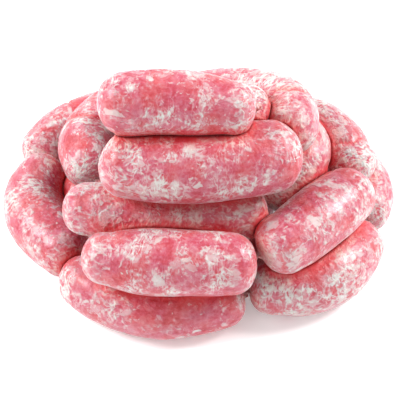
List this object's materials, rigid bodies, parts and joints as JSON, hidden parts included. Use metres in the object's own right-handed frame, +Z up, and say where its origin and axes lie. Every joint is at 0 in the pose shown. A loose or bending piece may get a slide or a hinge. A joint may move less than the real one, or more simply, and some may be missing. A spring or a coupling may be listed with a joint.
{
  "type": "string of sausage links",
  "caption": "Heaped string of raw pork sausage links: plump bent rolls that press on one another, joined by thin twists of casing.",
  "frame": {"origin": "on the surface that the heap rests on, under the middle of its footprint", "axes": "+X to the right along the heap's longest side, +Z up; the large links in front face -Y"},
  "size_m": [0.2, 0.1796, 0.12],
  "materials": {
    "raw_pork": "moist natural casing over coarse pink pork with white fat, softly glossy",
    "twisted_casing": "pale, half clear twisted casing, moist"
  },
  "bodies": {
    "root": {"link_01": "raw_pork", "link_02": "raw_pork", "link_03": "raw_pork", "link_04": "raw_pork", "link_05": "raw_pork", "link_06": "raw_pork", "link_07": "raw_pork", "link_08": "raw_pork", "link_09": "raw_pork", "link_10": "raw_pork", "link_11": "raw_pork", "link_12": "raw_pork", "link_13": "raw_pork", "link_14": "raw_pork", "link_15": "raw_pork", "link_16": "raw_pork", "link_17": "raw_pork", "link_18": "raw_pork", "link_19": "raw_pork", "link_20": "raw_pork", "link_21": "raw_pork", "twist_01": "twisted_casing", "twist_02": "twisted_casing", "twist_03": "twisted_casing", "twist_04": "twisted_casing", "twist_05": "twisted_casing", "twist_06": "twisted_casing", "twist_07": "twisted_casing", "twist_08": "twisted_casing", "twist_09": "twisted_casing", "twist_10": "twisted_casing", "twist_11": "twisted_casing", "twist_12": "twisted_casing", "twist_13": "twisted_casing", "twist_14": "twisted_casing", "twist_15": "twisted_casing", "twist_16": "twisted_casing", "twist_17": "twisted_casing", "twist_18": "twisted_casing", "twist_19": "twisted_casing", "twist_20": "twisted_casing", "tail_start": "twisted_casing", "tail_end": "twisted_casing"}
  },
  "joints": []
}
